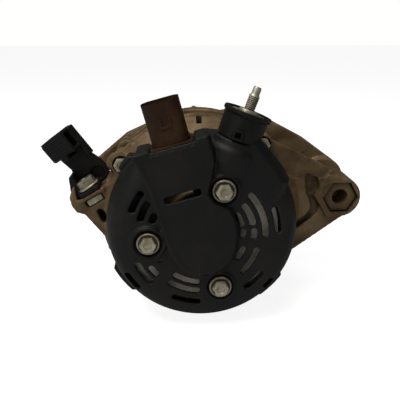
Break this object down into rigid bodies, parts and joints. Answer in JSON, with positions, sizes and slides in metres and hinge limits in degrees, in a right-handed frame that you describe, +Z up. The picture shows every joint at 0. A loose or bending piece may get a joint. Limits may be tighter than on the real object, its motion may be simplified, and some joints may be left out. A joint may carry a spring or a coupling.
{
  "type": "car alternator",
  "caption": "Car alternator: vented rear cover with plug socket and output stud, two cast brackets with mounting lugs, claw-pole rotor and ribbed belt pulley.",
  "frame": {"origin": "on the shaft axis, in the flat middle face of the rear cover", "axes": "+Y along the shaft towards the pulley, +Z up through the plug socket side, +X towards the long mounting arm"},
  "size_m": [0.2077, 0.1396, 0.1497],
  "materials": {
    "cover_plastic": "moulded glass-filled nylon, satin, dusty",
    "connector_plastic": "moulded brown polyester, satin",
    "black_plastic": "moulded black plastic, satin",
    "cast_aluminium": "die-cast, dusty and lightly oxidised",
    "zinc_steel": "zinc-plated steel, yellowed",
    "bare_steel": "bare machined steel",
    "lamination_steel": "stacked electrical steel, varnished",
    "enamelled_copper": "enamelled copper wire, varnished",
    "copper": "bare copper",
    "carbon": "sintered carbon",
    "pulley_steel": "black phosphated steel"
  },
  "bodies": {
    "housing": {"rear_cover": "cover_plastic", "cover_bolt_1": "zinc_steel", "cover_bolt_2": "zinc_steel", "cover_bolt_3": "zinc_steel", "connector_shell": "connector_plastic", "connector_blade_1": "copper", "connector_blade_2": "copper", "connector_blade_3": "copper", "connector_blade_4": "copper", "regulator_body": "black_plastic", "terminal_insulator": "black_plastic", "terminal_washer": "zinc_steel", "terminal_stud": "zinc_steel", "positive_heat_sink": "cast_aluminium", "negative_heat_sink": "cast_aluminium", "diode_1": "bare_steel", "diode_2": "bare_steel", "diode_3": "bare_steel", "diode_4": "bare_steel", "diode_5": "bare_steel", "diode_6": "bare_steel", "brush_holder": "black_plastic", "brush_spring_1": "bare_steel", "brush_spring_2": "bare_steel", "rear_bracket": "cast_aluminium", "front_bracket": "cast_aluminium", "lug_sleeve": "cast_aluminium", "through_bolt_1": "zinc_steel", "through_bolt_2": "zinc_steel", "through_bolt_3": "zinc_steel", "through_bolt_4": "zinc_steel", "bearing_retainer": "zinc_steel", "retainer_screw_1": "zinc_steel", "retainer_screw_2": "zinc_steel", "rear_bearing_outer": "bare_steel", "front_bearing_outer": "bare_steel", "stator_core": "lamination_steel", "stator_winding": "enamelled_copper", "harness_clip": "black_plastic", "clip_bolt": "zinc_steel", "clip_nut": "zinc_steel"},
    "rotor": {"rotor_shaft": "bare_steel", "rear_claw_pole": "bare_steel", "front_claw_pole": "bare_steel", "field_coil": "enamelled_copper", "rear_fan": "bare_steel", "front_fan": "bare_steel", "slip_ring_sleeve": "black_plastic", "slip_ring_1": "copper", "slip_ring_2": "copper", "rear_bearing_inner": "bare_steel", "front_bearing_inner": "bare_steel", "pulley": "pulley_steel", "pulley_nut": "zinc_steel"},
    "rear_cage": {"rear_ball_cage": "bare_steel"},
    "front_cage": {"front_ball_cage": "bare_steel"},
    "brush_a": {"brush_1": "carbon"},
    "brush_b": {"brush_2": "carbon"}
  },
  "joints": [
    {"name": "rotor_spin", "type": "hinge", "parent": "housing", "child": "rotor", "pos_m": [0, 0.07, 0], "axis": [0, 1, 0], "continuous": true},
    {"name": "rear_cage_spin", "type": "hinge", "parent": "housing", "child": "rear_cage", "pos_m": [0, 0.0359, 0], "axis": [0, 1, 0], "continuous": true},
    {"name": "front_cage_spin", "type": "hinge", "parent": "housing", "child": "front_cage", "pos_m": [0, 0.0998, 0], "axis": [0, 1, 0], "continuous": true},
    {"name": "brush_1_slide", "type": "slide", "parent": "housing", "child": "brush_a", "axis": [0, 0, 1], "range_m": [0, 0.004], "stiffness_N_per_m": 250, "springref_m": -0.014, "deforming": ["brush_spring_1"]},
    {"name": "brush_2_slide", "type": "slide", "parent": "housing", "child": "brush_b", "axis": [0, 0, 1], "range_m": [0, 0.004], "stiffness_N_per_m": 250, "springref_m": -0.014, "deforming": ["brush_spring_2"]}
  ],
  "couplings": [
    {"joint": "rear_cage_spin", "follows": "rotor_spin", "ratio": 0.381},
    {"joint": "front_cage_spin", "follows": "rotor_spin", "ratio": 0.364}
  ]
}
